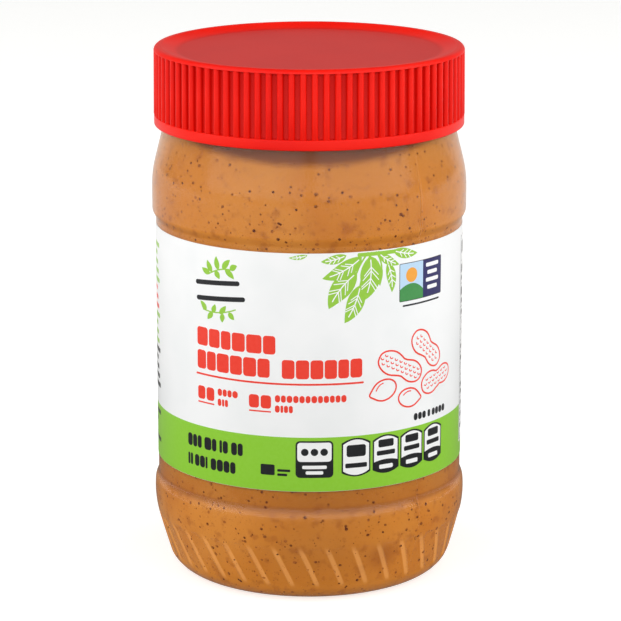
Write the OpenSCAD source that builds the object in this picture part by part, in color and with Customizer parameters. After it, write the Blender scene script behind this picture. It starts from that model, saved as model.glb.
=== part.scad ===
// Clear plastic food jar with a ribbed screw cap, a wrap label and its filling.
// Millimetres, +Z up, origin at the middle of the ring that the jar stands on.
// The front of the label faces -Y.

/* [Body] */
// Radius of the heel and shoulder bulges, the widest part of the jar
bulge_r = 36.65; // [36.4:0.05:37]
// Radius of the recessed wall that carries the label
panel_r = 35.78; // [35.5:0.02:36]
// Thickness of the blown wall
wall = 0.7; // [0.6:0.05:1]

/* [Base and heel] */
// Outer radius of the flat ring that the jar stands on
base_flat_r = 27; // [25:0.5:28]
// Width of that flat ring
base_ring_w = 2.4; // [2:0.2:3.6]
// Height of the dome pushed up inside the ring
push_up_h = 3.4; // [2:0.1:3.8]
// Radius of the corner between the base and the heel
corner_r = 6.75; // [5.5:0.25:7.5]
// Angle of the heel wall from upright
heel_taper = 16; // [13:1:18]
// Radius of the round that carries the heel wall into its bulge
heel_arc_r = 23.2; // [20:0.2:25]

/* [Heel flutes] */
// Number of slanted panels round the heel
flute_count = 36; // [24:2:44]
// Depth of a panel below the raised lands
flute_depth = 0.32; // [0.15:0.01:0.4]
// Width of the land between two panels
land_w = 1.05; // [0.8:0.05:1.6]
// Height at which the panels start
flute_low_z = 3.9; // [3.4:0.1:5]
// Height at which they end
flute_high_z = 14.2; // [13:0.1:15]
// How far a land drifts round the jar from its foot to its head
land_drift = 7.1; // [0:0.1:9]

/* [Label panel and shoulder] */
// Height at which the heel bulge starts to step in
heel_step_z = 20.9; // [20.4:0.1:21.4]
// Height of that step
heel_step_h = 3.1; // [2:0.1:3.4]
// Height at which the wall steps out again, above the label
shoulder_step_z = 84.4; // [84:0.1:85]
// Height of that step
shoulder_step_h = 2.4; // [1.6:0.1:3]
// Height at which the shoulder starts to lean in
shoulder_z = 91.95; // [90:0.1:94]
// Radius of the round at the start of that lean
shoulder_arc_r = 25; // [10:1:28]
// Angle of the shoulder from upright
shoulder_taper = 14; // [13:0.5:15]

/* [Neck] */
// Outer radius of the neck, inside the cap
neck_r = 32.9; // [32.6:0.1:33.2]
// Wall of the neck
neck_wall = 1.5; // [1.2:0.1:1.8]
// Height of the mouth, on which the cap seats
mouth_z = 122.2; // [121.5:0.1:122.6]
// Space between the filling and the mouth
head_space = 3; // [1:0.1:3.4]

/* [Cap] */
// Radius over the tips of the ribs
cap_r = 36.05; // [35.8:0.05:36.5]
// Radius of the smooth band under the ribs
cap_band_r = 35.98; // [35.7:0.02:36.2]
// Height of the lower rim of the cap
cap_low_z = 106.5; // [106:0.1:107.5]
// Height of the smooth band
cap_band_h = 2.4; // [1.8:0.1:3]
// Height of the top of the cap
cap_top_z = 124.65; // [124.4:0.05:125.2]
// Radius of the round at the top edge
cap_edge_r = 1; // [0.7:0.1:1.4]
// Inner radius of the skirt
skirt_in_r = 34.4; // [34.2:0.05:34.6]
// Number of ribs
rib_count = 86; // [60:2:100]
// Depth of the grooves between the ribs
rib_depth = 0.9; // [0.5:0.05:1]
// Share of the pitch that a groove's floor takes
groove_share = 0.42; // [0.3:0.02:0.5]
// Inner radius of the raised rim on top
rim_in_r = 34; // [33.5:0.1:34.5]
// Radius of the flat recessed panel on top
top_panel_r = 30.1; // [28:0.1:32]
// Depth of that panel below the rim
top_recess = 0.9; // [0.5:0.1:1.1]

/* [Label] */
// Height of the lower edge of the label
label_low_z = 27.8; // [26:0.1:30]
// Height of its upper edge
label_high_z = 83.3; // [78:0.1:84]
// Thickness of the label
label_t = 0.1; // [0.08:0.01:0.2]

/* [Hidden] */
$fn = 96;
overcut = 1;         // how far a cutting shape runs past what it cuts
arc_steps = 8;       // straight steps in a rounded stretch of an outline
base_wall = wall + 0.4;                      // the foot is left thicker by blowing
ring_in_r = base_flat_r - base_ring_w;
shoulder_out = shoulder_arc_r * (1 - cos(shoulder_taper));
// Height of the widest point of the heel, where its round leaves the tapered wall
heel_bulge_z = corner_r * (1 - sin(heel_taper)) + heel_arc_r * sin(heel_taper)
    + (bulge_r - heel_arc_r * (1 - cos(heel_taper)) - base_flat_r
       - corner_r * cos(heel_taper)) / tan(heel_taper);
// Angle on the heel's round at which the step to the panel starts
heel_end = asin((heel_step_z - heel_bulge_z) / heel_arc_r);
// Height at which the leaning shoulder meets the neck
neck_z = shoulder_z + shoulder_arc_r * sin(shoulder_taper)
    + (bulge_r - shoulder_out - neck_r) / tan(shoulder_taper);
fill_z = mouth_z - head_space;

// Points on a circle of radius r about [x, y], from angle from to angle to
function arc(centre, r, from, to) =
    [for (i = [0:arc_steps]) let (a = from + (to - from) * i / arc_steps)
        centre + r * [cos(a), sin(a)]];

// Points on a soft step from one point to another, upright at both ends
function soft_step(low, high) =
    [for (i = [0:arc_steps]) let (t = i / arc_steps)
        [low[0] + (high[0] - low[0]) * (1 - cos(180 * t)) / 2,
         low[1] + (high[1] - low[1]) * t]];

// The wall from the foot's corner up to the leaning shoulder, d inside the outer face
function heel_curve(d) = concat(
    arc([base_flat_r, corner_r], corner_r - d, -90, -heel_taper),
    arc([bulge_r - heel_arc_r, heel_bulge_z], heel_arc_r - d, -heel_taper, heel_end));
function upper_curve(d) =
    let (heel_top = bulge_r - heel_arc_r + (heel_arc_r - d) * cos(heel_end))
    concat(
        soft_step([heel_top, heel_step_z], [panel_r - d, heel_step_z + heel_step_h]),
        soft_step([panel_r - d, shoulder_step_z],
                  [bulge_r - d, shoulder_step_z + shoulder_step_h]),
        arc([bulge_r - shoulder_arc_r, shoulder_z], shoulder_arc_r - d, 0, shoulder_taper));

// Half outline of the jar's outside, from its axis
outer_outline = concat(
    [[0, 0]],
    heel_curve(0),
    upper_curve(0),
    [[neck_r, neck_z], [neck_r, mouth_z], [0, mouth_z]]);

// The dome under the base is a flat cap of a large ball
dome_r = (pow(ring_in_r, 2) + pow(push_up_h, 2)) / (2 * push_up_h);
dome_edge = acos(ring_in_r / dome_r);

// Half outline of the space inside, up to the height top
function inner_outline(top) = concat(
    arc([0, push_up_h - dome_r], dome_r + base_wall, 90, dome_edge),
    [[base_flat_r - base_ring_w / 4, base_wall]],
    [for (p = heel_curve(wall)) if (p[1] > base_wall) p],
    upper_curve(wall),
    [[neck_r - neck_wall, neck_z - wall], [neck_r - neck_wall, top], [0, top]]);

// One slanted land between two flutes, as a bar across the heel wall
module land(i) {
    mid_z = (flute_low_z + flute_high_z) / 2;
    length = flute_high_z - flute_low_z;
    drift = 2 * PI * bulge_r * land_drift / 360;
    rotate([0, 0, 360 * i / flute_count])
        translate([0, -bulge_r, mid_z])
            rotate([0, -atan(drift / length), 0])
                cube([land_w, 3 * corner_r, 2 * length], center = true);
}

// Ring that is cut away between the lands to leave the flutes
module flutes() {
    difference() {
        rotate_extrude()
            difference() {
                translate([base_flat_r, flute_low_z])
                    square([bulge_r, flute_high_z - flute_low_z]);
                polygon(concat([[0, 0]], heel_curve(flute_depth), [[0, heel_step_z]]));
            }
        for (i = [0:flute_count - 1]) land(i);
    }
}

// Clear blown jar with its neck, fluted heel and domed base
module jar() {
    color("#E9E2D2", 0.35)
        difference() {
            rotate_extrude() polygon(outer_outline);
            rotate_extrude() polygon(inner_outline(mouth_z + overcut));
            translate([0, 0, push_up_h - dome_r]) sphere(dome_r);
            flutes();
        }
}

// The filling, in touch with the wall all round
module peanut_butter() {
    color("#C98B57") rotate_extrude() polygon(inner_outline(fill_z));
}

// Outline of the ribs seen from above: a flat groove and a flat-topped rib in turn
function rib_outline() =
    [for (i = [0:rib_count - 1], side = [-1, 1], corner = [0, 1])
        let (pitch = 360 / rib_count,
             floor_half = groove_share * pitch / 2,
             tip_half = floor_half + pitch * 0.11,
             angle = side < 0 ? (corner == 0 ? -tip_half : -floor_half)
                              : (corner == 0 ? floor_half : tip_half),
             floor_point = (side < 0) == (corner == 1),
             r = floor_point ? cap_r - rib_depth : cap_r + overcut / 10,
             a = i * pitch + angle - 90)
        r * [cos(a), sin(a)]];

// Half outline of the cap, with its rounded edge, recessed top and hollow skirt
cap_outline = concat(
    [[skirt_in_r, cap_low_z], [cap_band_r, cap_low_z],
     [cap_band_r, cap_low_z + cap_band_h], [cap_r, cap_low_z + cap_band_h]],
    arc([cap_r - cap_edge_r, cap_top_z - cap_edge_r], cap_edge_r, 0, 90),
    [[rim_in_r, cap_top_z], [top_panel_r, cap_top_z - top_recess],
     [0, cap_top_z - top_recess], [0, mouth_z], [skirt_in_r, mouth_z]]);

// Screw cap, with grooves that run from the smooth band to the round of the top edge
module lid() {
    color("#E8382B")
        difference() {
            rotate_extrude() polygon(cap_outline);
            translate([0, 0, cap_low_z + cap_band_h])
                linear_extrude(height = cap_top_z - cap_edge_r - cap_low_z - cap_band_h)
                    difference() {
                        circle(cap_r + overcut);
                        polygon(rib_outline());
                    }
        }
}

// Wrap label, face to face with the recessed wall
module label() {
    color("#F4F6F6")
        translate([0, 0, label_low_z])
            difference() {
                cylinder(r = panel_r + label_t, h = label_high_z - label_low_z);
                translate([0, 0, -overcut])
                    cylinder(r = panel_r, h = label_high_z - label_low_z + 2 * overcut);
            }
}

jar();
peanut_butter();
lid();
label();
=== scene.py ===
"""Looks of a clear plastic jar of peanut butter with a ribbed screw cap and a wrap label.

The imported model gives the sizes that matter. Lengths in the classes are millimetres, and MM
turns them into the scene's metres. +Z is up, and the front of the label faces -Y. Angles round
the jar start at the front and grow towards +X.
"""

import logging
import math
from dataclasses import dataclass, field
from enum import Enum
from typing import Callable, Iterable, Mapping

import bmesh
import bpy
import numpy as np
from bpy.types import Material, Node, NodeSocket, NodeTree, Object
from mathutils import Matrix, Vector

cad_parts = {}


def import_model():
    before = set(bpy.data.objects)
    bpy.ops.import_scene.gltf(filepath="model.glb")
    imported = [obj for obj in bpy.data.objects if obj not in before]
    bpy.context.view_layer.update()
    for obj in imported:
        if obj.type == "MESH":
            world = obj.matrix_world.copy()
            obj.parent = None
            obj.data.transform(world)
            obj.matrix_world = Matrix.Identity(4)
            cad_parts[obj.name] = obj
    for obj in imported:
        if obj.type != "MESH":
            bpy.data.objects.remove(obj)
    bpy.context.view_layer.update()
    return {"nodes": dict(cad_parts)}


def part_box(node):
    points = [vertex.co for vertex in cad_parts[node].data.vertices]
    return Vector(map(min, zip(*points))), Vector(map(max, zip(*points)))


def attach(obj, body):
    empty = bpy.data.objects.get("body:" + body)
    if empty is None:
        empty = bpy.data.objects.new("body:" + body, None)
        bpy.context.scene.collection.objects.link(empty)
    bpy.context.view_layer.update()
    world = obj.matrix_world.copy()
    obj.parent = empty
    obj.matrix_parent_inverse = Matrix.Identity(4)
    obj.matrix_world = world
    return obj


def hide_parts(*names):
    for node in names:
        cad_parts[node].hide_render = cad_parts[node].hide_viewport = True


LOG = logging.getLogger("jar")
MM = 0.001
SLICE_WELD = 0.004 * MM
BODY = "root"

Colour = tuple[float, float, float, float]
Point = tuple[float, float]
Spot = tuple[float, float, float]
Loop = list[Point]
Feed = Node | NodeSocket
Layer = tuple[Feed, str, float]


# ---------------------------------------------------------------- small helpers


def linear(hex_colour: str) -> Colour:
    """Turn an sRGB hex colour into linear light.

    Args:
        hex_colour: A colour such as "#C98B57".

    Returns:
        Red, green, blue and an alpha of 1, in linear light.
    """
    channels = [int(hex_colour[i:i + 2], 16) / 255 for i in (1, 3, 5)]
    red, green, blue = (c / 12.92 if c <= 0.04045 else ((c + 0.055) / 1.055) ** 2.4 for c in channels)
    return red, green, blue, 1.0


def add_node(
    tree: NodeTree, kind: str, settings: dict | None = None, links: dict | None = None
) -> Node:
    """Add a node with its settings and links.

    Args:
        tree: The tree that takes the node.
        kind: The node's type name.
        settings: Values by attribute name, all lower case, or by input name or number.
        links: What feeds an input, by its name or number: a socket, or a node by its first one.

    Returns:
        The new node.
    """
    node = tree.nodes.new(kind)
    for key, value in (settings or {}).items():
        if isinstance(key, str) and key.islower():
            setattr(node, key, value)
        else:
            node.inputs[key].default_value = value
    for key, feed in (links or {}).items():
        tree.links.new(feed.outputs[0] if isinstance(feed, Node) else feed, node.inputs[key])
    return node


def smooth(edge_0: float, edge_1: float, value: np.ndarray | float) -> np.ndarray | float:
    """Rise softly from 0 at edge_0 to 1 at edge_1."""
    t = np.clip((value - edge_0) / (edge_1 - edge_0), 0, 1)
    return t * t * (3 - 2 * t)


def mesh_object(name: str, points: np.ndarray, faces: list) -> Object:
    """Make a mesh object at the origin.

    Args:
        name: The piece's name.
        points: Corner positions in millimetres, one row each.
        faces: Lists of corner numbers, seen from outside anticlockwise.

    Returns:
        The object, linked to the scene.
    """
    mesh = bpy.data.meshes.new(name)
    mesh.from_pydata((np.asarray(points) * MM).tolist(), [], faces)
    mesh.update()
    piece = bpy.data.objects.new(name, mesh)
    bpy.context.scene.collection.objects.link(piece)
    return piece


def weld(piece: Object, distance: float = 0.002) -> None:
    """Merge a mesh's doubled corners, which turns flattened squares into triangles.

    Args:
        piece: The object to weld.
        distance: How close two corners are merged, in millimetres.
    """
    shell = bmesh.new()
    shell.from_mesh(piece.data)
    bmesh.ops.remove_doubles(shell, verts=shell.verts, dist=distance * MM)
    shell.to_mesh(piece.data)
    shell.free()


def soften(piece: Object, crease: float = 40.0) -> None:
    """Shade a mesh smooth, but keep edges sharper than crease degrees."""
    piece.data.shade_smooth()
    piece.data.set_sharp_from_angle(angle=math.radians(crease))


def on_wall(angle: np.ndarray, radius: np.ndarray, height: np.ndarray) -> np.ndarray:
    """Place points round the jar's axis.

    Args:
        angle: Angles from the front towards +X, in radians.
        radius: Distances from the axis.
        height: Heights.

    Returns:
        One row of x, y and z for each point.
    """
    parts = np.broadcast_arrays(radius * np.sin(angle), -radius * np.cos(angle), height)
    return np.stack([np.ravel(p) for p in parts], axis=1)


def strips(levels: Iterable[int], wide: int, ring: int) -> list[tuple[int, ...]]:
    """Join the rows of a grid of corners with four-sided faces.

    Args:
        levels: The rows that get a row of faces up to the next.
        wide: How many corners a row has.
        ring: How many rows there are, after which the first comes again.

    Returns:
        The faces' corner numbers.
    """
    ends = [(k * wide, (k + 1) % ring * wide) for k in levels]
    return [(a + j, a + j + 1, b + j + 1, b + j) for a, b in ends for j in range(wide - 1)]


def give(piece: Object, material: Material) -> Object:
    """Give a finished piece its material and its body, and log its face count.

    Args:
        piece: The piece, in place.
        material: Its finish.

    Returns:
        The same piece.
    """
    piece.data.materials.clear()
    piece.data.materials.append(material)
    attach(piece, BODY)
    LOG.info("%s: %d faces", piece.name, len(piece.data.polygons))
    return piece


# ---------------------------------------------------------------- turned shapes


@dataclass
class Row:
    """One level of a turned shape: its radius, height, and how deep the relief cuts there."""

    r: float
    z: float
    relief: float = 0.0


class Outline:
    """Half outline of a turned shape, drawn one stretch at a time."""

    def __init__(self, r: float, z: float) -> None:
        """Start at radius r and height z."""
        self.rows = [Row(r, z)]

    def line(self, r: float, z: float, steps: int = 1) -> None:
        """Go straight to r, z in that many steps.

        Args:
            r: The radius to reach.
            z: The height to reach.
            steps: How many rows that takes.
        """
        last = self.rows[-1]
        for i in range(1, steps + 1):
            t = i / steps
            self.rows.append(Row(last.r + (r - last.r) * t, last.z + (z - last.z) * t))

    def arc(self, r: float, z: float, radius: float, start: float, end: float, steps: int) -> None:
        """Follow a circle about r, z from angle start to angle end, in degrees.

        Args:
            r: Radius of the circle's middle.
            z: Height of the circle's middle.
            radius: The circle's own radius.
            start: The first angle, from level outwards.
            end: The last angle.
            steps: How many stretches that takes.
        """
        for i in range(steps + 1):
            a = math.radians(start + (end - start) * i / steps)
            self.rows.append(Row(r + radius * math.cos(a), z + radius * math.sin(a)))

    def ease(self, r: float, z: float, steps: int) -> None:
        """Step softly to r, z, upright at both ends.

        Args:
            r: The radius to reach.
            z: The height to reach.
            steps: How many rows that takes.
        """
        last = self.rows[-1]
        for i in range(1, steps + 1):
            t = i / steps
            soft = (1 - math.cos(math.pi * t)) / 2
            self.rows.append(Row(last.r + (r - last.r) * soft, last.z + (z - last.z) * t))

    def add(self, rows: list[Row]) -> None:
        """Carry on with rows made elsewhere."""
        self.rows += rows


def turned(
    name: str,
    rows: list[Row],
    angles: np.ndarray,
    cut: Callable[[np.ndarray, np.ndarray], np.ndarray] | None = None,
    lean: Callable[[np.ndarray], np.ndarray] | None = None,
) -> Object:
    """Turn an outline through a set of angles.

    Args:
        name: The piece's name.
        rows: The outline, with the outside passed on the way up.
        angles: The angles of the columns, in degrees.
        cut: Gives the share of each row's relief that is cut away, from angle and height.
        lean: Gives the turn of each row in degrees, from its height.

    Returns:
        The open or closed mesh, with its doubled corners merged.
    """
    r, z, relief = (np.array([[getattr(row, key)] for row in rows]) for key in ("r", "z", "relief"))
    theta = np.asarray(angles, float)[None, :]
    depth = relief * cut(theta, z) if cut else 0.0
    turn = lean(z) if lean else 0.0
    points = on_wall(np.radians(theta + turn), r - depth, z)
    piece = mesh_object(name, points, strips(range(len(rows) - 1), theta.shape[1], len(rows)))
    weld(piece)
    return piece


# ---------------------------------------------------------------- Geometry Nodes


def new_tree(name: str, inputs: dict[str, str]) -> tuple[NodeTree, Mapping[str, NodeSocket]]:
    """Start a Geometry Nodes tree with named inputs and one mesh output.

    Args:
        name: The tree's name.
        inputs: Socket type by input name, in order.

    Returns:
        The tree and the sockets that carry its inputs, by name.
    """
    tree = bpy.data.node_groups.new(name, "GeometryNodeTree")
    for label, kind in inputs.items():
        tree.interface.new_socket(label, in_out="INPUT", socket_type=f"NodeSocket{kind}")
    tree.interface.new_socket("Mesh", in_out="OUTPUT", socket_type="NodeSocketGeometry")
    return tree, add_node(tree, "NodeGroupInput").outputs


def finish_tree(tree: NodeTree, entry: Mapping[str, NodeSocket], mesh: Node) -> NodeTree:
    """End a tree in Realize Instances, a weld and Set Material.

    Args:
        tree: The tree.
        entry: Its inputs, a Material and a Weld among them.
        mesh: The node that makes the instances.

    Returns:
        The finished tree.
    """
    real = add_node(tree, "GeometryNodeRealizeInstances", links={"Geometry": mesh})
    welded = add_node(
        tree, "GeometryNodeMergeByDistance", links={"Geometry": real, "Distance": entry["Weld"]}
    )
    dressed = add_node(
        tree, "GeometryNodeSetMaterial", links={"Geometry": welded, "Material": entry["Material"]}
    )
    add_node(tree, "NodeGroupOutput", links={0: dressed})
    return tree


def ring_tree() -> NodeTree:
    """Make the tree that repeats one slice of a turned shape all round the axis.

    Returns:
        The tree.
    """
    tree, entry = new_tree(
        "slices_round_axis",
        {"Slice": "Geometry", "Count": "Int", "Weld": "Float", "Material": "Material"},
    )
    pitch = add_node(tree, "ShaderNodeMath", {"operation": "DIVIDE", 0: math.tau}, {1: entry["Count"]})
    index = add_node(tree, "GeometryNodeInputIndex")
    angle = add_node(tree, "ShaderNodeMath", {"operation": "MULTIPLY"}, {0: index, 1: pitch})
    euler = add_node(tree, "ShaderNodeCombineXYZ", links={"Z": angle})
    turn = add_node(tree, "FunctionNodeEulerToRotation", links={0: euler})
    points = add_node(tree, "GeometryNodePoints", links={"Count": entry["Count"]})
    copies = add_node(
        tree,
        "GeometryNodeInstanceOnPoints",
        links={"Points": points, "Instance": entry["Slice"], "Rotation": turn},
    )
    return finish_tree(tree, entry, copies)


def scatter_tree() -> NodeTree:
    """Make the tree that strews small flat chips over a surface, in drifts.

    Returns:
        The tree.
    """
    tree, entry = new_tree(
        "chips_on_surface",
        {
            "Surface": "Geometry",
            **dict.fromkeys(("Density", "Drift Size", "Bareness", "Fullness", "Weld"), "Float"),
            **dict.fromkeys(("Smallest", "Largest", "Rarity", "Flatness"), "Float"),
            **dict.fromkeys(("Roundness", "Seed"), "Int"),
            "Material": "Material",
        },
    )
    drift_scale = add_node(
        tree, "ShaderNodeMath", {"operation": "DIVIDE", 0: 1.0}, {1: entry["Drift Size"]}
    )
    drift = add_node(
        tree,
        "ShaderNodeTexNoise",
        {"noise_dimensions": "4D", "Detail": 2.0},
        {"W": entry["Seed"], "Scale": drift_scale},
    )
    share = add_node(
        tree,
        "ShaderNodeMapRange",
        {"interpolation_type": "SMOOTHSTEP"},
        {"Value": drift, "From Min": entry["Bareness"], "From Max": entry["Fullness"]},
    )
    density = add_node(
        tree, "ShaderNodeMath", {"operation": "MULTIPLY"}, {0: share, 1: entry["Density"]}
    )
    points = add_node(
        tree,
        "GeometryNodeDistributePointsOnFaces",
        {"distribute_method": "RANDOM"},
        {"Mesh": entry["Surface"], "Density": density, "Seed": entry["Seed"]},
    )
    chip = add_node(
        tree, "GeometryNodeMeshIcoSphere", {"Radius": 1.0}, {"Subdivisions": entry["Roundness"]}
    )
    chance = add_node(tree, "FunctionNodeRandomValue", {"data_type": "FLOAT"}, {"Seed": entry["Seed"]})
    rarely = add_node(
        tree, "ShaderNodeMath", {"operation": "POWER"}, {0: chance.outputs[1], 1: entry["Rarity"]}
    )
    size = add_node(
        tree,
        "ShaderNodeMapRange",
        links={"Value": rarely, "To Min": entry["Smallest"], "To Max": entry["Largest"]},
    )
    stretch = add_node(
        tree,
        "FunctionNodeRandomValue",
        {"data_type": "FLOAT_VECTOR", 0: (0.8, 0.8, 1.0), 1: (1.25, 1.05, 1.0)},
        {"Seed": entry["Seed"]},
    )
    flat = add_node(tree, "ShaderNodeCombineXYZ", {"X": 1.0, "Y": 1.0}, {"Z": entry["Flatness"]})
    shape = add_node(tree, "ShaderNodeVectorMath", {"operation": "MULTIPLY"}, {0: stretch, 1: flat})
    scale = add_node(tree, "ShaderNodeVectorMath", {"operation": "SCALE"}, {0: shape, "Scale": size})
    spin = add_node(
        tree,
        "FunctionNodeRandomValue",
        {"data_type": "FLOAT", 2: 0.0, 3: math.tau},
        {"Seed": entry["Seed"]},
    )
    spin_turn = add_node(tree, "ShaderNodeCombineXYZ", links={"Z": spin.outputs[1]})
    spin_euler = add_node(tree, "FunctionNodeEulerToRotation", links={0: spin_turn})
    turn = add_node(
        tree,
        "FunctionNodeRotateRotation",
        {"rotation_space": "LOCAL"},
        {0: points.outputs["Rotation"], 1: spin_euler},
    )
    chips = add_node(
        tree,
        "GeometryNodeInstanceOnPoints",
        links={"Points": points, "Instance": chip, "Rotation": turn, "Scale": scale},
    )
    return finish_tree(tree, entry, chips)


def grow(piece: Object, tree: NodeTree, values: dict) -> None:
    """Run a tree on a piece and keep the result as its plain mesh.

    Args:
        piece: The object whose mesh the tree starts from.
        tree: The Geometry Nodes tree.
        values: The tree's inputs by name.
    """
    modifier = piece.modifiers.new(tree.name, "NODES")
    modifier.node_group = tree
    for item in tree.interface.items_tree:
        if item.name in values:
            modifier[item.identifier] = values[item.name]
    graph = bpy.context.evaluated_depsgraph_get()
    grown = bpy.data.meshes.new_from_object(
        piece.evaluated_get(graph), preserve_all_data_layers=True, depsgraph=graph
    )
    piece.modifiers.remove(modifier)
    start = piece.data
    piece.data = grown
    bpy.data.meshes.remove(start)


# ---------------------------------------------------------------- finishes


def patches(
    tree: NodeTree, grain: float, low: float, high: float, detail: float = 2.0, w: float = 0.0
) -> Node:
    """Strew soft patches over a piece, in its own coordinates.

    Args:
        tree: The material's tree.
        grain: The size of one lump of the pattern, in millimetres.
        low: The noise at which a patch starts.
        high: The noise at which it is full.
        detail: How many finer layers the noise has.
        w: Where in the noise's fourth dimension the pattern lies.

    Returns:
        The node that is 1 inside a patch and 0 between patches.
    """
    place = add_node(tree, "ShaderNodeTexCoord")
    lumps = add_node(
        tree,
        "ShaderNodeTexNoise",
        {"noise_dimensions": "4D", "Scale": 1 / (grain * MM), "Detail": detail, "W": w},
        {"Vector": place.outputs["Object"]},
    )
    return add_node(
        tree,
        "ShaderNodeMapRange",
        {"interpolation_type": "SMOOTHSTEP", "From Min": low, "From Max": high},
        {"Value": lumps.outputs["Fac"]},
    )


def wavy(tree: NodeTree, grain: float, depth: float, strength: float = 1.0) -> Node:
    """Make a surface uneven with low waves.

    Args:
        tree: The material's tree.
        grain: The length of a wave, in millimetres.
        depth: Its height, in millimetres.
        strength: How much of it shows.

    Returns:
        The node with the bent normal.
    """
    place = add_node(tree, "ShaderNodeTexCoord")
    waves = add_node(
        tree,
        "ShaderNodeTexNoise",
        {"Scale": 1 / (grain * MM), "Detail": 1.0},
        {"Vector": place.outputs["Object"]},
    )
    return add_node(
        tree,
        "ShaderNodeBump",
        {"Strength": strength, "Distance": depth * MM},
        {"Height": waves.outputs["Fac"]},
    )


def reach(tree: NodeTree, across: Point, height: Point) -> Node:
    """Mark a zone of a round piece by its distance from the axis and its height.

    Args:
        tree: The material's tree.
        across: The radii at which the zone starts and is full, in millimetres.
        height: The heights at which it starts and is full, in millimetres.

    Returns:
        The node that is 1 in the zone and 0 outside it.
    """
    place = add_node(tree, "ShaderNodeTexCoord")
    axes = add_node(tree, "ShaderNodeSeparateXYZ", links={0: place.outputs["Object"]})
    zone = add_node(
        tree,
        "ShaderNodeMapRange",
        {"interpolation_type": "SMOOTHSTEP", "From Min": height[0] * MM, "From Max": height[1] * MM},
        {"Value": axes.outputs["Z"]},
    )
    flat = add_node(
        tree,
        "ShaderNodeVectorMath",
        {"operation": "MULTIPLY", 1: (1.0, 1.0, 0.0)},
        {0: place.outputs["Object"]},
    )
    span = add_node(tree, "ShaderNodeVectorMath", {"operation": "LENGTH"}, {0: flat})
    return add_node(
        tree,
        "ShaderNodeMapRange",
        {"interpolation_type": "SMOOTHSTEP", "From Min": across[0] * MM, "From Max": across[1] * MM},
        {"Value": span.outputs["Value"], "To Max": zone},
    )


def near(tree: NodeTree, centre: Spot, edge: float, full: float) -> Node:
    """Mark a soft round spot of a piece.

    Args:
        tree: The material's tree.
        centre: The spot's middle, in millimetres.
        edge: How far from it the spot ends.
        full: How far from it the spot is still full.

    Returns:
        The node that is 1 in the spot's middle and 0 outside it.
    """
    place = add_node(tree, "ShaderNodeTexCoord")
    gap = add_node(
        tree,
        "ShaderNodeVectorMath",
        {"operation": "DISTANCE", 1: tuple(value * MM for value in centre)},
        {0: place.outputs["Object"]},
    )
    return add_node(
        tree,
        "ShaderNodeMapRange",
        {"interpolation_type": "SMOOTHSTEP", "From Min": edge * MM, "From Max": full * MM},
        {"Value": gap.outputs["Value"]},
    )


def painted(tree: NodeTree, base: str, *layers: Layer) -> NodeSocket:
    """Lay colours over a base colour, one after another.

    Args:
        tree: The material's tree.
        base: The colour under all of them.
        *layers: For each, where it lies, its colour and how much of it shows there.

    Returns:
        The socket with the finished colour.
    """
    below = {}
    for share, colour, most in layers:
        thin = add_node(tree, "ShaderNodeMath", {"operation": "MULTIPLY", 1: most}, {0: share})
        laid = add_node(
            tree,
            "ShaderNodeMix",
            {"data_type": "RGBA", 6: linear(base), 7: linear(colour)},
            {0: thin, **below},
        )
        below = {6: laid.outputs[2]}
    return below[6]


@dataclass(frozen=True)
class Finish:
    """A material: colours laid over a base, with its own shine, waves and glow."""

    name: str
    base: str
    roughness: float = 0.3
    ior: float = 1.5
    specular: float = 0.5
    glow: float = 0.0
    waves: tuple[float, ...] = ()

    def make(self) -> Material:
        """Make the material.

        Returns:
            The material.
        """
        material = bpy.data.materials.new(self.name)
        material.use_nodes = True
        tree = material.node_tree
        tree.nodes.clear()
        add_node(tree, "ShaderNodeOutputMaterial", links={"Surface": self.shader(tree)})
        return material

    def shader(self, tree: NodeTree) -> Node:
        """Lay out the surface's nodes.

        Args:
            tree: The material's empty tree.

        Returns:
            The shader.
        """
        settings = {
            "Roughness": self.roughness,
            "IOR": self.ior,
            "Specular IOR Level": self.specular,
            "Emission Strength": self.glow,
        }
        links = {"Base Color": painted(tree, self.base, *self.layers(tree))}
        if self.waves:
            links["Normal"] = wavy(tree, *self.waves)
        return add_node(tree, "ShaderNodeBsdfPrincipled", settings, links)

    def layers(self, tree: NodeTree) -> list[Layer]:
        """Colours laid over the base; each painted finish has its own."""
        raise NotImplementedError


@dataclass(frozen=True)
class ClearPolyester(Finish):
    """Blown polyester (PET): water-clear, glossy, with faint long waves from blowing."""

    name: str = "clear_blown_polyester"
    base: str = "#FBF8F1"
    passing: str = "#F4F0E6"
    roughness: float = 0.2
    ior: float = 1.4
    waves: tuple[float, ...] = (9.0, 0.018)

    def shader(self, tree: NodeTree) -> Node:
        """Lay out clear plastic. Lamps pass it straight, so what it holds is lit well.

        Args:
            tree: The material's empty tree.

        Returns:
            The shader.
        """
        wall = add_node(
            tree,
            "ShaderNodeBsdfPrincipled",
            {
                "Base Color": linear(self.base),
                "IOR": self.ior,
                "Roughness": self.roughness,
                "Transmission Weight": 1.0,
            },
            {"Normal": wavy(tree, *self.waves)},
        )
        clear = add_node(tree, "ShaderNodeBsdfTransparent", {"Color": linear(self.passing)})
        path = add_node(tree, "ShaderNodeLightPath")
        return add_node(
            tree, "ShaderNodeMixShader", links={0: path.outputs["Is Shadow Ray"], 1: wall, 2: clear}
        )


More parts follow.
